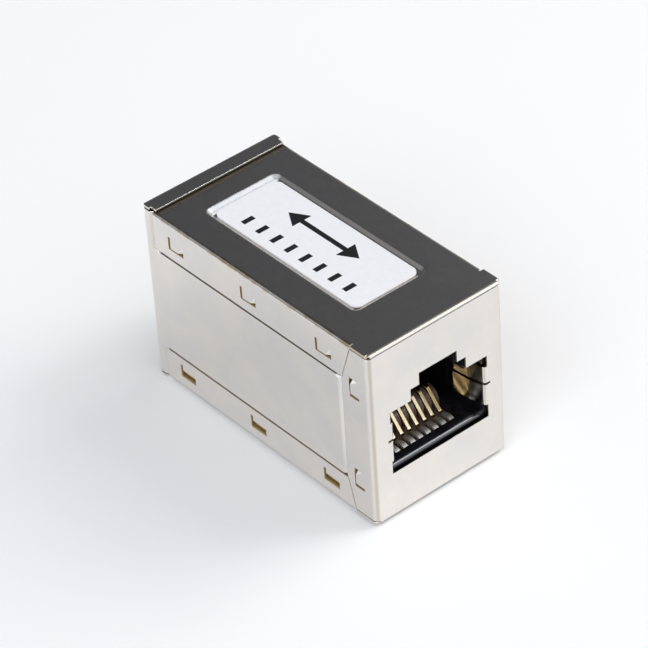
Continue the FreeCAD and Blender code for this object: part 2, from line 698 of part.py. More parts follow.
def make_carrier():
    """Comb that holds the eight contacts, slid into the housing from behind."""
    body = Part.Face(comb_outline()).extrude(Vector(2 * COMB_HALF, 0, 0))
    return body.cut([contact_room(index) for index in range(CONTACTS)]).removeSplitter()


def make_housing():
    """Moulded jack housing with the plug cavity, latch slot and finger pockets."""
    body = block((-HOUSING_HALF, HOUSING_HALF), (HOUSING_FRONT, HOUSING_BACK),
                 (HOUSING_LOW, HOUSING_HIGH))
    front = HOUSING_FRONT - 1
    floor = BASE + CAVITY_FLOOR
    cavity = block((-CAVITY_HALF, CAVITY_HALF), (front, CAVITY_BACK), (floor, BASE + CAVITY_CEILING))
    half_wide = LATCH_WIDE / 2 - PLUG_CLEARANCE
    half_narrow = LATCH_NARROW / 2 - PLUG_CLEARANCE
    wide = block((-half_wide, half_wide), (front, CAVITY_BACK), (floor, BASE + LATCH_STEP - PLUG_CLEARANCE))
    narrow = block((-half_narrow, half_narrow), (front, CAVITY_BACK),
                   (floor, BASE + LATCH_TOP - PLUG_CLEARANCE))
    body = body.cut([cavity, wide, narrow])
    body = rounded(body, LIP_RADIUS, lambda box: runs_along("x")(box)
                   and abs(box.YMin - HOUSING_FRONT) < 1e-6 and abs(box.ZMin - floor) < 1e-6)
    pocket = block((0, CAVITY_HALF + FINGER_POCKET), (front, FACE + FINGER_POCKET_DEPTH),
                   (BASE + FINGER_LOW - POCKET_MARGIN, BASE + FINGER_HIGH + POCKET_MARGIN))
    half = COMB_HALF + COMB_CLEARANCE
    channel = block((-half, half), (HOUSING_FRONT + LIP_DEPTH, HOUSING_BACK + 1),
                    (BASE + COMB_LOW + SHEET - COMB_CLEARANCE, BASE + COMB_REAR + COMB_CLEARANCE))
    well = block((-half, half), (HOUSING_FRONT + LIP_DEPTH, CAVITY_BACK),
                 (BASE + COMB_REAR - 1, floor + 1))
    cuts = both_sides(pocket) + [channel, well]
    run = 2 * HOUSING_HALF / CORING_COUNT
    high = HOUSING_HIGH - CORING_WALL
    for index in range(CORING_COUNT):
        x = -HOUSING_HALF + (index + 0.5) * run
        cuts.append(block((x - CORING_WIDTH / 2, x + CORING_WIDTH / 2),
                          (HOUSING_FRONT + LIP_DEPTH, HOUSING_BACK + 1), (high - CORING_HEIGHT, high)))
    return body.cut(cuts).removeSplitter()


# ---------------------------------------------------------------- label and board
def make_label():
    """Printed sticker that lies in the recess."""
    bottom = SHELL_TOP - RECESS_DEPTH
    outline = rounded_plate(LABEL_WIDTH, LABEL_LENGTH, LABEL_CORNER, bottom, RECESS_MIDDLE)
    return Part.Face(outline).extrude(Vector(0, 0, LABEL_THICKNESS))


def make_board():
    """Upright circuit board with a plated hole for each solder tail."""
    board = block((-HOUSING_HALF, HOUSING_HALF), (-BOARD_THICKNESS / 2, BOARD_THICKNESS / 2),
                  (HOUSING_LOW, HOUSING_HIGH))
    rim = BOARD_HOLE / 2 / math.cos(math.pi / 8)
    angles = [math.pi / 8 + step * math.pi / 4 for step in range(8)]
    holes = []
    for row in (CONTACT_LOW, CONTACT_LOW - TAIL_ROW):
        for index in range(CONTACTS):
            points = [Vector(contact_x(index) + rim * math.cos(a), -BOARD_THICKNESS,
                             BASE + row + rim * math.sin(a)) for a in angles]
            holes.append(polygon_prism(points, Vector(0, 2 * BOARD_THICKNESS, 0)))
    return board.cut(holes)


def main():
    """Write every piece of the coupler as its own STEP file."""
    os.makedirs("parts", exist_ok=True)
    pieces = {"front_shell": make_front_shell(), "rear_shell": make_rear_shell(),
              "label": make_label(), "circuit_board": make_board()}
    jack = {"housing": make_housing(), "carrier": make_carrier()}
    for index in range(CONTACTS):
        jack[f"contact_{index + 1}"] = make_contact(index)
    for name, shape in jack.items():
        pieces[f"front_{name}"] = shape
        pieces[f"rear_{name}"] = turned(shape)
    for name, shape in pieces.items():
        assert shape.isValid(), name
        print(name, len(shape.Solids), round(shape.Volume, 3))
        shape.exportStep(f"parts/{name}.step")


main()
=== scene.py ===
"""Dresses the shielded inline coupler for rendering.

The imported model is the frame: X across, Y along the plug axis, Z up, in metres, with the
front port facing -Y. Each sub-assembly is a class that gives its CAD nodes their finishes;
the scene adds no piece to them. Sizes inside the shaders are in millimetres.
"""
from __future__ import annotations

import logging
import math
from collections.abc import Mapping, Sequence
from dataclasses import dataclass, field
from enum import Enum

import bpy
from mathutils import Matrix, Vector

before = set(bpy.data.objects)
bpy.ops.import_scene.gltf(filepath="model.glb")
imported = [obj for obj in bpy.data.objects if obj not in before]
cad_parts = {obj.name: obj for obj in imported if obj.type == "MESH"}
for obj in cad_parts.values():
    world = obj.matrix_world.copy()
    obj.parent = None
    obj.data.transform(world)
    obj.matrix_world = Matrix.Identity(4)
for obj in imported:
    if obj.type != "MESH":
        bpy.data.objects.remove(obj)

LOG = logging.getLogger("coupler")
MM = 0.001
BEVEL_SAMPLES = 6
MIDDLE = 0.5
MIX_COLOURS = (6, 7, 2)
MIX_VECTORS = (4, 5, 1)
Colour = tuple[float, float, float]
Triple = tuple[float, float, float]
Pair = tuple[float, float]
Span = tuple[float, float]


# ---------------------------------------------------------------- shader building
class Value:
    """A node socket; Python's operators on it add Math nodes."""

    def __init__(self, tree: ShaderTree, socket: bpy.types.NodeSocket) -> None:
        """Keep the tree that the socket belongs to."""
        self.tree = tree
        self.socket = socket

    def __add__(self, other: Number) -> Value:
        """Sum."""
        return self.tree.math("ADD", self, other)

    def __radd__(self, other: Number) -> Value:
        """Sum, reflected."""
        return self.tree.math("ADD", other, self)

    def __sub__(self, other: Number) -> Value:
        """Difference."""
        return self.tree.math("SUBTRACT", self, other)

    def __rsub__(self, other: Number) -> Value:
        """Difference, reflected."""
        return self.tree.math("SUBTRACT", other, self)

    def __mul__(self, other: Number) -> Value:
        """Product."""
        return self.tree.math("MULTIPLY", self, other)

    def __rmul__(self, other: Number) -> Value:
        """Product, reflected."""
        return self.tree.math("MULTIPLY", other, self)

    def __truediv__(self, other: Number) -> Value:
        """Quotient."""
        return self.tree.math("DIVIDE", self, other)

    def __rtruediv__(self, other: Number) -> Value:
        """Quotient, reflected."""
        return self.tree.math("DIVIDE", other, self)

    def __gt__(self, other: Number) -> Value:
        """1 where this value is the larger, else 0."""
        return self.tree.math("GREATER_THAN", self, other)

    def __lt__(self, other: Number) -> Value:
        """1 where this value is the smaller, else 0."""
        return self.tree.math("LESS_THAN", self, other)

    def __abs__(self) -> Value:
        """Size without sign."""
        return self.tree.math("ABSOLUTE", self)


Number = Value | float | int
Feed = Value | float | int | Sequence[float]


@dataclass(frozen=True)
class Grain:
    """A noise texture: its cells per millimetre along each axis, and its octaves."""

    cells: Triple
    octaves: float
    strength: float = 0.5


@dataclass(frozen=True)
class Relief:
    """Fine relief: its depth in millimetres, and the share of it that shows."""

    depth: float
    share: float


@dataclass(frozen=True)
class Coat:
    """What a mark does to a finish where its mask is 1.

    The share is how much of its colour shows, over 1 where the mask is a weak one, and the
    roughness is added to the finish's own. The dullness is how far the mark isn't metal.
    """

    colour: Colour
    share: float = 1.0
    roughness: float = 0.0
    dullness: float = 0.0


class ShaderTree:
    """Node tree of one material or world, written as expressions.

    A Mix node has sockets for each kind of data: MIX_COLOURS and MIX_VECTORS number its two
    inputs and its output.
    """

    def __init__(self, owner: bpy.types.Material | bpy.types.World) -> None:
        """Empty the owner's node tree and take it over."""
        owner.use_nodes = True
        self.tree = owner.node_tree
        self.tree.nodes.clear()

    def node(self, kind: str, settings: Mapping[str, object] | None = None,
             inputs: Mapping[str | int, Feed] | None = None) -> bpy.types.Node:
        """Add one node.

        Args:
            kind: Blender's type name of the node.
            settings: Properties, set before the sockets.
            inputs: Values or links of its sockets, by name or number.

        Returns:
            The node.
        """
        made = self.tree.nodes.new(kind)
        for name, value in (settings or {}).items():
            setattr(made, name, value)
        for key, value in (inputs or {}).items():
            if isinstance(value, Value):
                self.tree.links.new(value.socket, made.inputs[key])
            else:
                made.inputs[key].default_value = value
        return made

    def out(self, kind: str, settings: Mapping[str, object] | None = None,
            inputs: Mapping[str | int, Feed] | None = None, output: str | int = 0) -> Value:
        """Add one node and give one of its outputs.

        Args:
            kind: Blender's type name of the node.
            settings: Properties, set before the sockets.
            inputs: Values or links of its sockets.
            output: Name or number of the output.

        Returns:
            The output as a value.
        """
        return Value(self, self.node(kind, settings, inputs).outputs[output])

    def math(self, operation: str, *values: Number) -> Value:
        """Math node on one or more numbers."""
        return self.out("ShaderNodeMath", {"operation": operation}, dict(enumerate(values)))

    def top(self, first: Number, second: Number) -> Value:
        """Larger of two values."""
        return self.math("MAXIMUM", first, second)

    def least(self, first: Number, second: Number) -> Value:
        """Smaller of two values."""
        return self.math("MINIMUM", first, second)

    def length(self, first: Value, second: Value) -> Value:
        """Length of a flat vector from its two parts."""
        return self.math("SQRT", first * first + second * second)

    def within(self, value: Value, span: Span) -> Value:
        """1 where a value lies between two bounds, else 0."""
        return (value > span[0]) * (value < span[1])

    def climb(self, value: Value, span: Span) -> Value:
        """Smooth change from 0 at a span's start to 1 at its end."""
        return self._eased(value, span, 0.0, 1.0)

    def fall(self, value: Value, span: Span) -> Value:
        """Smooth change from 1 at a span's start to 0 at its end."""
        return self._eased(value, span, 1.0, 0.0)

    def _eased(self, value: Value, span: Span, start: float, end: float) -> Value:
        """Smooth change from one number to another.

        Args:
            value: What the change follows.
            span: Values at which it starts and ends.
            start: Number before the change.
            end: Number after it.

        Returns:
            The changed number.
        """
        return self.out("ShaderNodeMapRange", {"interpolation_type": "SMOOTHSTEP"},
                        {"Value": value, "From Min": span[0], "From Max": span[1],
                         "To Min": start, "To Max": end})

    def mix(self, factor: Number, first: Feed, second: Feed) -> Value:
        """Blend of two colours.

        Args:
            factor: Share of the second colour.
            first: Colour at 0.
            second: Colour at 1.

        Returns:
            The blended colour.
        """
        start, end, output = MIX_COLOURS
        return self.out("ShaderNodeMix", {"data_type": "RGBA"},
                        {0: factor, start: self._rgba(first), end: self._rgba(second)}, output)

    def blend(self, factor: Number, first: Value, second: Value) -> Value:
        """Blend of two vectors.

        Args:
            factor: Share of the second vector.
            first: Vector at 0.
            second: Vector at 1.

        Returns:
            The blended vector.
        """
        start, end, output = MIX_VECTORS
        return self.out("ShaderNodeMix", {"data_type": "VECTOR"},
                        {0: factor, start: first, end: second}, output)

    @staticmethod
    def _rgba(colour: Feed) -> Feed:
        """Colour with its alpha, or the link as it is."""
        return colour if isinstance(colour, Value) else (*colour, 1.0)

    def place(self) -> tuple[Value, Value, Value]:
        """The point on the object, in millimetres, as (x, y, z)."""
        return self.split(self.stretched((1.0, 1.0, 1.0)))

    def facing(self) -> tuple[Value, Value, Value]:
        """The surface's true normal in the object's frame, as (x, y, z)."""
        return self.split(self.out("ShaderNodeNewGeometry", output="True Normal"))

    def stretched(self, scale: Triple) -> Value:
        """The point on the object, in millimetres, times a factor for each axis."""
        coordinate = self.out("ShaderNodeTexCoord", output="Object")
        factors = tuple(part / MM for part in scale)
        return self.out("ShaderNodeVectorMath", {"operation": "MULTIPLY"},
                        {0: coordinate, 1: factors})

    def split(self, vector: Value) -> tuple[Value, Value, Value]:
        """The three parts of a vector."""
        parts = self.node("ShaderNodeSeparateXYZ", inputs={0: vector})
        return tuple(Value(self, socket) for socket in parts.outputs)

    def noise(self, grain: Grain) -> Value:
        """Noise around 0.5, of a grain."""
        return self.out("ShaderNodeTexNoise", inputs={
            "Vector": self.stretched(grain.cells), "Scale": 1.0, "Detail": grain.octaves,
            "Roughness": grain.strength})

    def eased_edges(self, radius: float) -> Value:
        """Normal that rounds sharp edges by a radius in millimetres."""
        return self.out("ShaderNodeBevel", {"samples": BEVEL_SAMPLES}, {"Radius": radius * MM})

    def bump(self, height: Value, relief: Relief, normal: Value) -> Value:
        """Normal with fine relief.

        Args:
            height: Relief from 0 to 1.
            relief: Its depth and the share of it that shows.
            normal: Normal to start from.

        Returns:
            The new normal.
        """
        return self.out("ShaderNodeBump", inputs={
            "Height": height, "Distance": relief.depth * MM, "Strength": relief.share,
            "Normal": normal})

    def surface(self, constants: Mapping[str, Feed], links: Mapping[str, Feed]) -> None:
        """Principled surface as the tree's output.

        Args:
            constants: Sockets that are the same all over.
            links: Sockets that change over the surface.
        """
        shader = self.out("ShaderNodeBsdfPrincipled", inputs={**constants, **links})
        self.node("ShaderNodeOutputMaterial", inputs={"Surface": shader})


def centred(value: Value, spread: float) -> Value:
    """Value from 0 to 1 moved to lie about 0, times a spread."""
    return (value - MIDDLE) * spread


# ---------------------------------------------------------------- plated sheet
BRASS: Colour = (0.56, 0.45, 0.28)
OLIVE: Colour = (0.42, 0.37, 0.25)
# Near-black: a burr's tarnish at the port, and painted shade at the strip's edge and ahead of it.
TARNISH_AND_SHADE: Colour = (0.045, 0.033, 0.020)
BRIGHT: Colour = (0.98, 0.975, 0.96)


def box_of(name: str) -> tuple[Vector, Vector]:
    """A CAD node's lowest and highest corners, in millimetres."""
    axes = tuple(zip(*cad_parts[name].bound_box))
    return Vector(map(min, axes)) / MM, Vector(map(max, axes)) / MM


SHELL = box_of("front_shell")
LABEL = box_of("label")


@dataclass(frozen=True)
class ShieldZones:
    """Where the sheet's edges, bends, tabs and painted glints lie, in millimetres."""

    side: float = SHELL[1].x
    end: float = -SHELL[0].y
    top: float = SHELL[1].z
    sheet: float = 0.3
    play: float = 0.02
    # Across and along, from the middle both ways.
    flap_side: float = side - sheet - play
    tab_side: float = flap_side - sheet
    port_half: float = 6.75
    finger_half: float = port_half - 0.5
    recess_half: float = LABEL[1].x + 1.15
    face: float = end - sheet - play
    flap_end: float = end - 1.0
    side_bend: float = end - 3 * sheet
    finger_end: float = 12.4
    # Span where the fingers' painted reflection gives way to their painted shade.
    finger_shade_span: Span = (15.3, 15.7)
    # Along, from the middle to the rear.
    front_bend: float = 2 * sheet - end
    corner_front: float = -14.6
    recess: Span = (LABEL[0].y - 2.05, LABEL[1].y + 2.05)
    recess_behind: float = LABEL[1].y - 0.15
    strip_front: float = 15.15
    # Band of painted shade on the top panel ahead of the strip's edge.
    seam: Span = (strip_front - 1.1, strip_front - 0.2)
    # Levels above the floor.
    flap_levels: Span = (1.2, top - 0.83)
    port_levels: Span = (5.2, 16.3)
    rim_levels: Span = (5.2, 6.2)
    lower_slit: Span = (3.95, 4.6)
    upper_slit: Span = (15.9, 16.95)
    front_bend_level: float = top - 0.98
    corner_level: float = top - 0.33
    recess_floor: float = LABEL[0].z + 0.07
    top_levels: Span = (top - 0.1, top + 0.1)
    # Levels over which the painted shade low on the strip's cut edge fades out.
    edge_shade_levels: Span = (top + 0.13, top + 0.21)
    # Half the strip's edge, and the painted glints: places along with levels, and their rims.
    strip_edge: float = 0.12
    glint_spots: tuple[Pair, ...] = ((-12.5, 16.55), (15.05, 16.65))
    glint_rim: Span = (0.136, 0.34)


@dataclass(frozen=True)
class ShieldTurns:
    """Parts of the unit normal that tell the sheet's faces apart."""

    flap_cut: float = 0.35
    port_cut: float = 0.2
    squarely: float = 0.8
    window: float = 0.99
    corner: float = 0.6
    upward: float = 0.95
    long_bend_side: float = 0.2
    long_bend_rise: float = 0.15
    tab_facet: Span = (0.7, 0.985)
    front_bend: float = 0.15
    front_bend_rise: Span = (0.55, 0.80)
    side_bend_start: Span = (0.35, 0.60)
    side_bend_end: Span = (0.70, 0.93)
    finger_side: float = 0.9
    recess_wall: float = 0.2
    recess_floor: float = 0.9


@dataclass(frozen=True)
class ShieldShares:
    """Strengths of the marks that are weaker in some places than in others."""

    corner: float = 0.8
    rim_burr: float = 0.8
    finger_burr: float = 0.7
    dull_cut: float = 0.55
    upper_slit: float = 0.5
    lower_slit: float = 0.3
    slanted: float = 0.3


class ShieldMasks:
    """Masks over a folded sheet, each 1 inside its zone and 0 outside."""

    def __init__(self, tree: ShaderTree, zones: ShieldZones) -> None:
        """Set out the place and the direction that all the masks go by.

        Args:
            tree: The material's node tree.
            zones: Where the marks lie.
        """
        self.tree = tree
        self.zones = zones
        self.turns = ShieldTurns()
        self.shares = ShieldShares()
        self.x, self.y, self.z = tree.place()
        self.turn_x, self.turn_y, self.turn_z = tree.facing()
        self.across, self.along = abs(self.x), abs(self.y)
        self.above_flaps = self.z > zones.flap_levels[1]
        self.flap_level = tree.within(self.z, zones.flap_levels)
        self.port_level = tree.within(self.z, zones.port_levels)

    def sheared(self) -> Value:
        """Cut thickness of the sheet, as against its plated faces.

        Returns:
            The mask, weaker at the upper corners of the front face.
        """
        zones, turns, tree = self.zones, self.turns, self.tree
        flaps = (self.across > zones.tab_side) * (abs(self.turn_x) < turns.flap_cut)
        flaps = flaps * self.flap_level * (self.along < zones.side_bend)
        rim = (self.along > zones.face) * (abs(self.turn_y) < turns.port_cut)
        fingers = (self.along > zones.finger_end) * (abs(self.turn_z) > turns.squarely)
        port = (self.across < zones.port_half) * self.port_level
        corner = (self.across > zones.flap_side) * (abs(self.turn_x) > turns.corner)
        corner = corner * (self.z > zones.corner_level) * (self.y < zones.corner_front)
        flaps = tree.top(flaps, corner * self.shares.corner)
        return tree.top(flaps, port * tree.top(rim, fingers))

    def strip_edge(self) -> Value:
        """Cut front edge of the strip over the top."""
        edge = abs(self.y - self.zones.strip_front) < self.zones.strip_edge
        return edge * (abs(self.turn_y) > self.turns.squarely) * self.above_flaps

    def burr_and_shade(self, strip: Value) -> Value:
        """Painted shade low on the strip's cut edge, and a dull burr along the port's level edges.

        Args:
            strip: The strip's cut edge.

        Returns:
            The mask, weaker at the port.
        """
        zones, tree = self.zones, self.tree
        # Painted shade on the lower part of the strip's cut edge.
        strip_shade = strip * tree.fall(self.z, zones.edge_shade_levels)
        level = (self.turn_z > self.turns.squarely) * (self.across < zones.port_half)
        rim = level * (self.along > zones.face) * tree.within(self.z, zones.rim_levels)
        finger = level * (self.along > zones.finger_end) * self.port_level
        return strip_shade + rim * self.shares.rim_burr + finger * self.shares.finger_burr

    def dull_cut(self, edge: Value) -> Value:
        """Share by which the sides' cut edges are duller than plated metal.

        Args:
            edge: The cut thickness of the sheet.

        Returns:
            The share, less in the two long slits and along the slanted cuts.
        """
        shares, tree = self.shares, self.tree
        upper = tree.within(self.z, self.zones.upper_slit) * shares.upper_slit
        lower = tree.within(self.z, self.zones.lower_slit) * shares.lower_slit
        slanted = tree.top(abs(self.turn_y), abs(self.turn_z)) < self.turns.window
        share = tree.top(shares.dull_cut - upper - lower - slanted * shares.slanted, 0.0)
        return edge * (self.across > self.zones.tab_side) * share

    def upward(self) -> Value:
        """Top faces."""
        return (self.z > self.zones.top_levels[0]) * (self.turn_z > self.turns.upward)

    def long_bend(self) -> Value:
        """Bends along the top of the sides."""
        turns = self.turns
        bent = (abs(self.turn_x) > turns.long_bend_side) * (self.turn_z > turns.long_bend_rise)
        return (self.across > self.zones.tab_side - self.zones.sheet) * self.above_flaps * bent

    def tab_facet(self) -> Value:
        """Slanted facets of the locking tabs, where a highlight is painted."""
        zones = self.zones
        place = (self.across > zones.flap_side - zones.sheet) * (self.along < zones.flap_end)
        return place * self.flap_level * self.tree.within(abs(self.turn_x), self.turns.tab_facet)

    def front_bend(self) -> Value:
        """Bend between the front face and the top panel, whose highlight is toned by a painted
        tint.
        """
        zones, turns = self.zones, self.turns
        rise = self.tree.climb(self.turn_z, turns.front_bend_rise)
        bent = (abs(self.turn_y) > turns.front_bend) * rise
        return (self.y < zones.front_bend) * (self.z > zones.front_bend_level) * bent

    def seam(self) -> Value:
        """Top panel at the strip's edge, fading ahead of it, where a contact shadow is painted."""
        level = self.tree.within(self.z, self.zones.top_levels)
        return self.tree.climb(self.y, self.zones.seam) * level

    def side_bend(self) -> Value:
        """Middle of the upright bends at the sides of the faces."""
        turned = self.tree.climb(abs(self.turn_x), self.turns.side_bend_start)
        turned = turned * self.tree.fall(abs(self.turn_x), self.turns.side_bend_end)
        return (self.along > self.zones.side_bend) * turned

    def fingers(self) -> tuple[Value, Value]:
        """Spring fingers behind the port, where shade and a reflection are painted.

        Returns:
            The sides of their near part, and their far part.
        """
        zones = self.zones
        inside = (self.across < zones.finger_half) * self.port_level
        far = inside * self.tree.fall(self.along, zones.finger_shade_span)
        near = inside * self.tree.climb(self.along, zones.finger_shade_span)
        near = near * (self.along < zones.face)
        return near * (abs(self.turn_x) > self.turns.finger_side), far

    def recess(self) -> Value:
        """Label recess with its edge."""
        inside = self.tree.within(self.y, self.zones.recess)
        return inside * (self.across < self.zones.recess_half) * self.above_flaps

    def recess_wall(self, recess: Value) -> Value:
        """Rear wall of the label recess, where painted shade dims the lamp's reflection."""
        level = self.turns.recess_wall
        return recess * (self.turn_y < -level) * (self.turn_z > level)

    def recess_floor(self, recess: Value) -> Value:
        """Floor of the label recess behind the label, where light is painted over the gap's shade.
        """
        behind = (self.y > self.zones.recess_behind) * (self.z < self.zones.recess_floor)
        return recess * behind * (self.turn_z > self.turns.recess_floor)

    def glint_spots(self) -> Value:
        """Small painted glints, near-white dots, at the ends of the upper slit."""
        reach = self.tree.least(*(self.tree.length(self.y - along, self.z - level)
                                  for along, level in self.zones.glint_spots))
        return self.tree.fall(reach, self.zones.glint_rim) * (self.across > self.zones.flap_side)


@dataclass(frozen=True)
class NickelPlate:
    """Bright nickel on brass sheet, with the brass showing at the sheared edges."""

    tint: Colour = (0.80, 0.765, 0.72)
    shade: Colour = (0.755, 0.735, 0.71)
    shade_span: Span = (0.35, 0.68)
    stain_span: Span = (0.35, 0.75)
    worn_span: Span = (0.42, 0.62)
    stain: Coat = Coat(BRASS, 0.06)
    slate: Coat = Coat((0.66, 0.655, 0.66), 0.3)
    worn_bend: Coat = Coat(BRASS, 0.75)
    # Painted shade on the near fingers' sides; painted reflection of the gold contacts on the
    # fingers' far part.
    finger_shade: Coat = Coat((0.10, 0.095, 0.08), 0.75)
    finger_reflection: Coat = Coat((0.44, 0.30, 0.12), 0.8)
    # Painted shade: a dark blue-grey tint on the recess's rear wall that dims its reflection.
    recess_wall: Coat = Coat((0.35, 0.37, 0.41), 0.75, roughness=0.30)
    # Painted light: a pale non-metal floor behind the label, hiding the dark gap there.
    recess_floor: Coat = Coat((0.80, 0.80, 0.82), dullness=1.0)
    cut_edge: Coat = Coat(BRASS, 0.85, roughness=0.16)
    window_edge: Coat = Coat((0.64, 0.455, 0.185), 1.7, dullness=1.0)
    strip_edge: Coat = Coat(OLIVE, 0.7, roughness=0.2)
    # Painted shade low on the strip's cut edge; a dull burr at the port's level edges.
    burr_and_shade: Coat = Coat(TARNISH_AND_SHADE)
    # Painted shade: a dark band along the strip's edge, standing in for its contact shadow and
    # hiding its reflection.
    seam: Coat = Coat(TARNISH_AND_SHADE, 0.85, roughness=0.25)
    side_bend: Coat = Coat(OLIVE, 0.55)
    # Painted shade on a highlight: the dark cream tint turns the lamp's line in the bend cream.
    front_bend: Coat = Coat((0.30, 0.262, 0.215), 0.85, roughness=0.10)
    # Painted highlight: a near-white tint on the tabs' slanted facets, shown on the front sheet.
    tab_facet: Coat = Coat(BRIGHT, 0.0)
    # Painted glint: a near-white, almost non-metal dot at each end of the upper slit.
    painted_glint: Coat = Coat(BRIGHT, dullness=0.9)
    cloud: Grain = Grain((0.22, 0.16, 0.22), 3.0)
    mottle: Grain = Grain((1.1, 0.8, 1.1), 5.0, 0.6)
    rolled: Grain = Grain((9.0, 0.35, 9.0), 4.0, 0.6)
    peel: Grain = Grain((2.4, 2.4, 2.4), 2.0)
    roughness: float = 0.16
    cloud_spread: float = 0.07
    rolled_spread: float = 0.08
    mottle_spread: float = 0.05
    relief: Relief = Relief(0.006, 0.35)
    rolled_relief: float = 0.35
    peel_relief: float = 0.5
    mottle_relief: float = 0.15
    edge_radius: float = 0.14
    recess_radius: float = 0.26
    zones: ShieldZones = ShieldZones()

    def material(self, name: str) -> bpy.types.Material:
        """Make the plate's material.

        Args:
            name: Name of the material.

        Returns:
            The material.
        """
        made = bpy.data.materials.new(name)
        tree = ShaderTree(made)
        masks = ShieldMasks(tree, self.zones)
        recess = masks.recess()
        cloud, mottle = tree.noise(self.cloud), tree.noise(self.mottle)
        rolled, peel = tree.noise(self.rolled), tree.noise(self.peel)
        colour = tree.mix(tree.climb(cloud, self.shade_span), self.tint, self.shade)
        rough = self.roughness + centred(cloud, self.cloud_spread)
        rough = rough + centred(rolled, self.rolled_spread) + centred(mottle, self.mottle_spread)
        dull = 0.0
        for mask, coat in self._layers(tree, masks, mottle, recess):
            colour = tree.mix(mask * coat.share, colour, coat.colour)
            if coat.roughness:
                rough = rough + mask * coat.roughness
            if coat.dullness:
                dull = mask * coat.dullness + dull
        relief = rolled * self.rolled_relief + peel * self.peel_relief
        relief = relief + mottle * self.mottle_relief
        eased = tree.blend(recess, tree.eased_edges(self.edge_radius),
                           tree.eased_edges(self.recess_radius))
        tree.surface({}, {"Base Color": colour, "Roughness": rough,
                          "Metallic": 1.0 - tree.least(dull, 1.0),
                          "Normal": tree.bump(relief, self.relief, eased)})
        return made

    def _layers(self, tree: ShaderTree, masks: ShieldMasks, mottle: Value,
                recess: Value) -> tuple[tuple[Value, Coat], ...]:
        """Marks on the plate, from the lowest layer to the highest.

        Args:
            tree: The material's node tree.
            masks: The sheet's masks.
            mottle: The noise that the plating wears by.
            recess: The label recess with its edge.

        Returns:
            A mask and its coat for each mark.
        """
        worn = tree.climb(mottle, self.worn_span)
        near, far = masks.fingers()
        edge, strip = masks.sheared(), masks.strip_edge()
        return (
            (tree.climb(mottle, self.stain_span), self.stain),
            (masks.upward() * (1.0 - worn), self.slate),
            (masks.long_bend() * worn, self.worn_bend),
            (near, self.finger_shade),
            (far, self.finger_reflection),
            (masks.recess_wall(recess), self.recess_wall),
            (masks.recess_floor(recess), self.recess_floor),
            (edge, self.cut_edge),
            (masks.dull_cut(edge), self.window_edge),
            (strip, self.strip_edge),
            (masks.burr_and_shade(strip), self.burr_and_shade),
            (masks.seam(), self.seam),
            (masks.side_bend(), self.side_bend),
            (masks.front_bend(), self.front_bend),
            (masks.tab_facet(), self.tab_facet),
            (masks.glint_spots(), self.painted_glint),
        )


# ---------------------------------------------------------------- other finishes
@dataclass(frozen=True)
class BlackMoulding:
    """Glossy moulded plastic with a faint flow texture; its end-facing faces near the ports are
    made black by full metalness, a painted shade.
    """

    colour: Colour = (0.006, 0.006, 0.008)
    lighter: Colour = (0.013, 0.013, 0.018)
    lighter_span: Span = (0.3, 0.75)
    flow: Grain = Grain((0.5, 0.5, 0.9), 4.0)
    grain: Grain = Grain((14.0, 14.0, 14.0), 2.0)
    roughness: float = 0.14
    flow_spread: float = 0.08
    grain_spread: float = 0.04
    refraction: float = 1.75
    relief: Relief = Relief(0.003, 0.25)
    edge_radius: float = 0.09
    shaded_from: float = 15.0
    shaded_turn: Span = (0.55, 0.85)

    def material(self, name: str) -> bpy.types.Material:
        """Make the moulding's material.

        Args:
            name: Name of the material.

        Returns:
            The material.
        """
        made = bpy.data.materials.new(name)
        tree = ShaderTree(made)
        _, y, _ = tree.place()
        _, turn_y, _ = tree.facing()
        flow, grain = tree.noise(self.flow), tree.noise(self.grain)
        colour = tree.mix(tree.climb(flow, self.lighter_span), self.colour, self.lighter)
        # Painted shade: full metalness on the near-black colour keeps these faces black.
        shaded_front = tree.climb(abs(turn_y), self.shaded_turn) * (abs(y) > self.shaded_from)
        rough = self.roughness + centred(flow, self.flow_spread)
        rough = rough + centred(grain, self.grain_spread)
        normal = tree.bump(grain, self.relief, tree.eased_edges(self.edge_radius))
        tree.surface({"IOR": self.refraction},
                     {"Base Color": colour, "Metallic": shaded_front, "Roughness": rough,
                      "Normal": normal})
        return made


@dataclass(frozen=True)
class PlatedStrip:
    """Contact strip: gold over nickel, the nickel showing at the nose bend."""

    gold: Colour = (1.0, 0.885, 0.60)
    deep_gold: Colour = (0.93, 0.74, 0.45)
    nickel: Colour = (0.74, 0.725, 0.68)
    deep_span: Span = (0.35, 0.7)
    nose: Span = (13.3, 13.75)
    patch: Grain = Grain((1.2, 0.8, 1.2), 3.0)
    drawn: Grain = Grain((18.0, 1.0, 18.0), 3.0)
    roughness: float = 0.2
    drawn_spread: float = 0.12
    patch_spread: float = 0.1
    nose_dull: float = 0.38
    relief: Relief = Relief(0.004, 0.4)
    edge_radius: float = 0.05

    def material(self, name: str) -> bpy.types.Material:
        """Make the strip's material.

        Args:
            name: Name of the material.

        Returns:
            The material.
        """
        made = bpy.data.materials.new(name)
        tree = ShaderTree(made)
        _, y, _ = tree.place()
        patch, drawn = tree.noise(self.patch), tree.noise(self.drawn)
        gilt = tree.mix(tree.climb(patch, self.deep_span), self.gold, self.deep_gold)
        nose = tree.climb(abs(y), self.nose)
        rough = self.roughness + centred(drawn, self.drawn_spread)
        rough = rough + centred(patch, self.patch_spread) + nose * self.nose_dull
        normal = tree.bump(drawn, self.relief, tree.eased_edges(self.edge_radius))
        tree.surface({"Metallic": 1.0},
                     {"Base Color": tree.mix(nose, gilt, self.nickel), "Roughness": rough,
                      "Normal": normal})
        return made


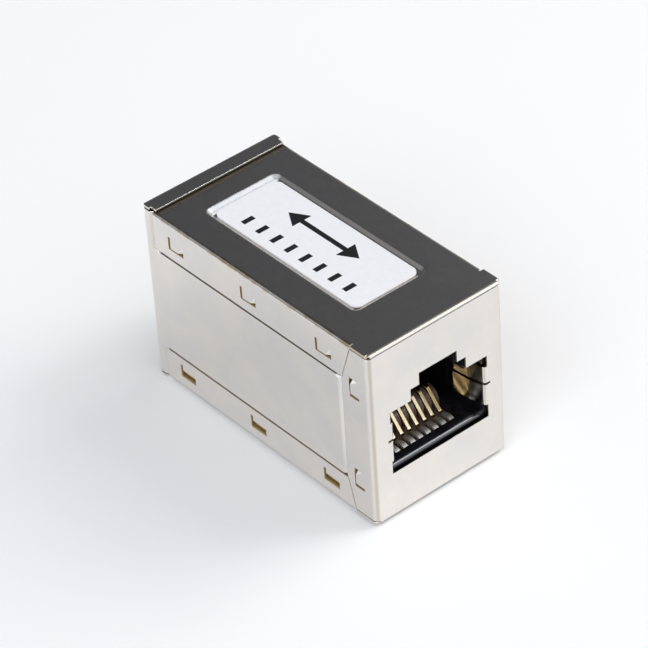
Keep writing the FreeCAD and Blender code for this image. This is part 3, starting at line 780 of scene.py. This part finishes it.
@dataclass(frozen=True)
class PrintedSticker:
    """White coated sticker with a two-way arrow and a row of eight bars, in millimetres."""

    paper: Colour = (0.865, 0.865, 0.885)
    paper_shade: Colour = (0.84, 0.84, 0.865)
    shade_span: Span = (0.3, 0.7)
    ink: Colour = (0.012, 0.012, 0.014)
    fibre: Grain = Grain((1.6, 1.6, 1.6), 5.0)
    gloss: Grain = Grain((0.35, 0.25, 0.35), 2.0)
    roughness: float = 0.42
    gloss_spread: float = 0.2
    ink_gloss: float = 0.08
    refraction: float = 1.46
    relief: Relief = Relief(0.004, 0.3)
    ink_relief: float = 0.5
    edge_radius: float = 0.05
    upward: float = 0.5
    arrow_middle: Pair = (1.35, 0.75)
    arrow_half: float = 5.4
    head_length: float = 2.1
    head_slope: float = 0.60
    shaft_half: float = 0.30
    shaft_overlap: float = 0.1
    bars_start: float = 8.3
    bar_pitch: float = 2.2
    bar_share: float = 0.30
    bars_across: float = -2.35
    bar_half: float = 0.72
    bars: int = 8

    def material(self, name: str) -> bpy.types.Material:
        """Make the sticker's material.

        Args:
            name: Name of the material.

        Returns:
            The material.
        """
        made = bpy.data.materials.new(name)
        tree = ShaderTree(made)
        x, y, _ = tree.place()
        _, _, turn_z = tree.facing()
        fibre, gloss = tree.noise(self.fibre), tree.noise(self.gloss)
        ink = tree.least(self._arrow(tree, x, y) + self._bars(tree, x, y), 1.0)
        ink = ink * (turn_z > self.upward)
        paper = tree.mix(tree.climb(fibre, self.shade_span), self.paper, self.paper_shade)
        rough = self.roughness + centred(gloss, self.gloss_spread) - ink * self.ink_gloss
        height = fibre + ink * self.ink_relief
        normal = tree.bump(height, self.relief, tree.eased_edges(self.edge_radius))
        tree.surface({"IOR": self.refraction},
                     {"Base Color": tree.mix(ink, paper, self.ink), "Roughness": rough,
                      "Normal": normal})
        return made

    def _arrow(self, tree: ShaderTree, x: Value, y: Value) -> Value:
        """Two-way arrow along the coupler.

        Args:
            tree: The material's node tree.
            x: Place across the sticker.
            y: Place along it.

        Returns:
            1 inside the arrow, else 0.
        """
        across, along = abs(x - self.arrow_middle[0]), abs(y - self.arrow_middle[1])
        neck = self.arrow_half - self.head_length
        shaft = (along < neck + self.shaft_overlap) * (across < self.shaft_half)
        head = (along > neck) * (across < (self.arrow_half - along) * self.head_slope)
        return tree.top(shaft, head)

    def _bars(self, tree: ShaderTree, x: Value, y: Value) -> Value:
        """Row of short bars, one for each way.

        Args:
            tree: The material's node tree.
            x: Place across the sticker.
            y: Place along it.

        Returns:
            1 inside a bar, else 0.
        """
        run = (self.bars_start - y) / self.bar_pitch
        bar = tree.math("FRACT", run) < self.bar_share
        inside = tree.within(run, (0.0, float(self.bars)))
        return inside * bar * (abs(x - self.bars_across) < self.bar_half)


@dataclass(frozen=True)
class BoardLaminate:
    """Green glass-fibre board with tinned rings round its holes, in millimetres."""

    mask: Colour = (0.012, 0.11, 0.045)
    fibre: Colour = (0.03, 0.16, 0.07)
    tin: Colour = (0.72, 0.71, 0.69)
    weave: Grain = Grain((3.0, 3.0, 0.8), 4.0)
    rows: Pair = (1.93, 3.73)
    pitch: float = 1.016
    ways: int = 8
    ring: float = 0.47
    roughness: float = 0.38
    weave_spread: float = 0.1
    tin_gloss: float = 0.1
    relief: Relief = Relief(0.01, 0.4)
    edge_radius: float = 0.05

    def material(self, name: str) -> bpy.types.Material:
        """Make the board's material.

        Args:
            name: Name of the material.

        Returns:
            The material.
        """
        made = bpy.data.materials.new(name)
        tree = ShaderTree(made)
        x, _, z = tree.place()
        weave = tree.noise(self.weave)
        column = centred(tree.math("FRACT", x / self.pitch), self.pitch)
        row = tree.least(*(abs(z - level) for level in self.rows))
        ring = (tree.length(column, row) < self.ring) * (abs(x) < self.pitch * self.ways / 2)
        colour = tree.mix(ring, tree.mix(weave, self.mask, self.fibre), self.tin)
        rough = self.roughness - ring * self.tin_gloss + centred(weave, self.weave_spread)
        normal = tree.bump(weave, self.relief, tree.eased_edges(self.edge_radius))
        tree.surface({}, {"Base Color": colour, "Metallic": ring, "Roughness": rough,
                          "Normal": normal})
        return made


# ---------------------------------------------------------------- sub-assemblies
class End(Enum):
    """The two ends of the coupler."""

    FRONT = "front"
    REAR = "rear"


def dress(name: str, material: bpy.types.Material) -> None:
    """Give a CAD node its material.

    Args:
        name: Name of the node.
        material: Its finish.
    """
    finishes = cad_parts[name].data.materials
    finishes.clear()
    finishes.append(material)
    LOG.info("%s: %s", name, material.name)


@dataclass
class Shield:
    """The two folded sheets; the locking tabs are the front one's."""

    # The front sheet's tab facets carry a painted highlight.
    front: NickelPlate = field(
        default_factory=lambda: NickelPlate(tab_facet=Coat(BRIGHT, 0.9)))
    rear: NickelPlate = field(default_factory=NickelPlate)

    def make(self) -> None:
        """Dress both sheets."""
        dress("front_shell", self.front.material("front_plate"))
        dress("rear_shell", self.rear.material("rear_plate"))


@dataclass
class Sticker:
    """The sticker in the recess of the top panel."""

    print_finish: PrintedSticker = field(default_factory=PrintedSticker)

    def make(self) -> None:
        """Dress the sticker."""
        dress("label", self.print_finish.material("printed_sticker"))


@dataclass
class Jack:
    """One modular jack: housing, comb and eight contacts."""

    end: End
    contacts: int = 8
    moulding: BlackMoulding = field(default_factory=BlackMoulding)
    # Painted light: the comb is a lighter brown-grey than black plastic, to show it in the port's
    # shade.
    comb: BlackMoulding = field(default_factory=lambda: BlackMoulding(
        colour=(0.155, 0.105, 0.088), lighter=(0.205, 0.145, 0.122), roughness=0.26))
    strip: PlatedStrip = field(default_factory=PlatedStrip)

    def make(self) -> None:
        """Dress the jack's pieces."""
        end = self.end.value
        dress(f"{end}_housing", self.moulding.material(f"{end}_housing_plastic"))
        dress(f"{end}_carrier", self.comb.material(f"{end}_comb_plastic"))
        plated = self.strip.material(f"{end}_contact_plating")
        for number in range(1, self.contacts + 1):
            dress(f"{end}_contact_{number}", plated)


@dataclass
class Board:
    """The circuit board between the jacks."""

    laminate: BoardLaminate = field(default_factory=BoardLaminate)

    def make(self) -> None:
        """Dress the board."""
        dress("circuit_board", self.laminate.material("board_laminate"))


# ---------------------------------------------------------------- studio
@dataclass(frozen=True)
class Softbox:
    """Square soft lamp that looks at the coupler."""

    name: str
    towards: Triple
    distance: float
    size: float
    level: float
    colour: Colour

    def place(self, aim: Vector) -> None:
        """Put the lamp in the scene, aimed at a point.

        Args:
            aim: The point.
        """
        data = bpy.data.lights.new(self.name, "AREA")
        data.shape = "SQUARE"
        data.size = self.size
        data.energy = self.level * math.pi * self.size ** 2
        data.color = self.colour
        lamp = bpy.data.objects.new(self.name, data)
        back = Vector(self.towards).normalized()
        lamp.location = aim + back * self.distance
        lamp.rotation_euler = (-back).to_track_quat("-Z", "Y").to_euler()
        bpy.context.scene.collection.objects.link(lamp)


@dataclass
class Studio:
    """Floor, surroundings, lamps and camera, in metres, lens millimetres and degrees."""

    aim: Vector = field(default_factory=lambda: Vector((0.00035, 0.0004, 0.0107)))
    azimuth: float = -38.1
    elevation: float = 37.9
    roll: float = -3.98
    distance: float = 0.3464
    lens: float = 192.0
    sensor: float = 36.0
    sight: Span = (0.01, 20.0)
    floor_size: float = 8.0
    floor_colour: Colour = (0.93, 0.93, 0.93)
    floor_roughness: float = 0.9
    dark_towards: Triple = (0.10, 0.72, 0.69)
    dark_span: Span = (0.62, 0.93)
    dark: Colour = (0.078, 0.080, 0.087)
    sky_span: Span = (0.22, 0.62)
    bright: Colour = (0.86, 0.86, 0.88)
    horizon: Colour = (0.30, 0.30, 0.31)
    lamps: tuple[Softbox, ...] = (
        Softbox("key_softbox", (0.487, -0.31, 0.817), 0.80, 0.15, 6.5, (0.86, 0.92, 1.0)),
        Softbox("front_softbox", (0.487, -0.614, 0.621), 0.80, 0.13, 1.9, (0.84, 0.90, 1.0)),
        Softbox("right_softbox", (0.83, -0.28, 0.48), 0.80, 0.60, 3.0, (1.0, 0.975, 0.93)),
        Softbox("left_softbox", (-0.66, -0.36, 0.66), 0.90, 0.60, 2.6, (0.90, 0.945, 1.0)),
    )

    def make(self) -> None:
        """Build the studio round the coupler."""
        self._floor()
        self._surroundings()
        for lamp in self.lamps:
            lamp.place(self.aim)
        self._camera()
        bpy.context.scene.view_settings.view_transform = "Standard"

    def _floor(self) -> None:
        """Pale floor under the coupler."""
        name = "studio_floor"
        half = self.floor_size / 2
        mesh = bpy.data.meshes.new(name)
        corners = [(-half, -half, 0), (half, -half, 0), (half, half, 0), (-half, half, 0)]
        mesh.from_pydata(corners, [], [(0, 1, 2, 3)])
        floor = bpy.data.objects.new(name, mesh)
        bpy.context.scene.collection.objects.link(floor)
        material = bpy.data.materials.new(name)
        ShaderTree(material).surface(
            {"Base Color": (*self.floor_colour, 1.0), "Roughness": self.floor_roughness,
             "Specular IOR Level": 0.0}, {})
        mesh.materials.append(material)

    def _surroundings(self) -> None:
        """Studio room: bright above, dimmer at the horizon, dark behind the coupler."""
        world = bpy.data.worlds.new("studio_room")
        bpy.context.scene.world = world
        tree = ShaderTree(world)
        direction = tree.out("ShaderNodeTexCoord", output="Generated")
        towards = tuple(Vector(self.dark_towards).normalized())
        turn = tree.out("ShaderNodeVectorMath", {"operation": "DOT_PRODUCT"},
                        {0: direction, 1: towards}, "Value")
        _, _, rise = tree.split(direction)
        sky = tree.mix(tree.climb(rise, self.sky_span), self.horizon, self.bright)
        room = tree.mix(tree.climb(turn, self.dark_span), sky, self.dark)
        shader = tree.out("ShaderNodeBackground", inputs={"Color": room, "Strength": 1.0})
        tree.node("ShaderNodeOutputWorld", inputs={"Surface": shader})

    def _camera(self) -> None:
        """Camera at the viewing angle."""
        data = bpy.data.cameras.new("camera")
        data.lens = self.lens
        data.sensor_width = self.sensor
        data.clip_start, data.clip_end = self.sight
        camera = bpy.data.objects.new("camera", data)
        turn, rise = math.radians(self.azimuth), math.radians(self.elevation)
        back = Vector((math.sin(turn) * math.cos(rise), -math.cos(turn) * math.cos(rise),
                       math.sin(rise)))
        camera.location = self.aim + back * self.distance
        look = (-back).to_track_quat("-Z", "Y").to_matrix()
        camera.rotation_euler = (look @ Matrix.Rotation(math.radians(self.roll), 3, "Z")).to_euler()
        bpy.context.scene.collection.objects.link(camera)
        bpy.context.scene.camera = camera


def main() -> None:
    """Dress every sub-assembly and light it."""
    logging.basicConfig(level=logging.INFO, format="%(message)s")
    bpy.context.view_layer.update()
    Studio().make()
    Shield().make()
    Sticker().make()
    for end in End:
        Jack(end).make()
    Board().make()
    bpy.context.view_layer.update()


if __name__ == "__main__":
    main()
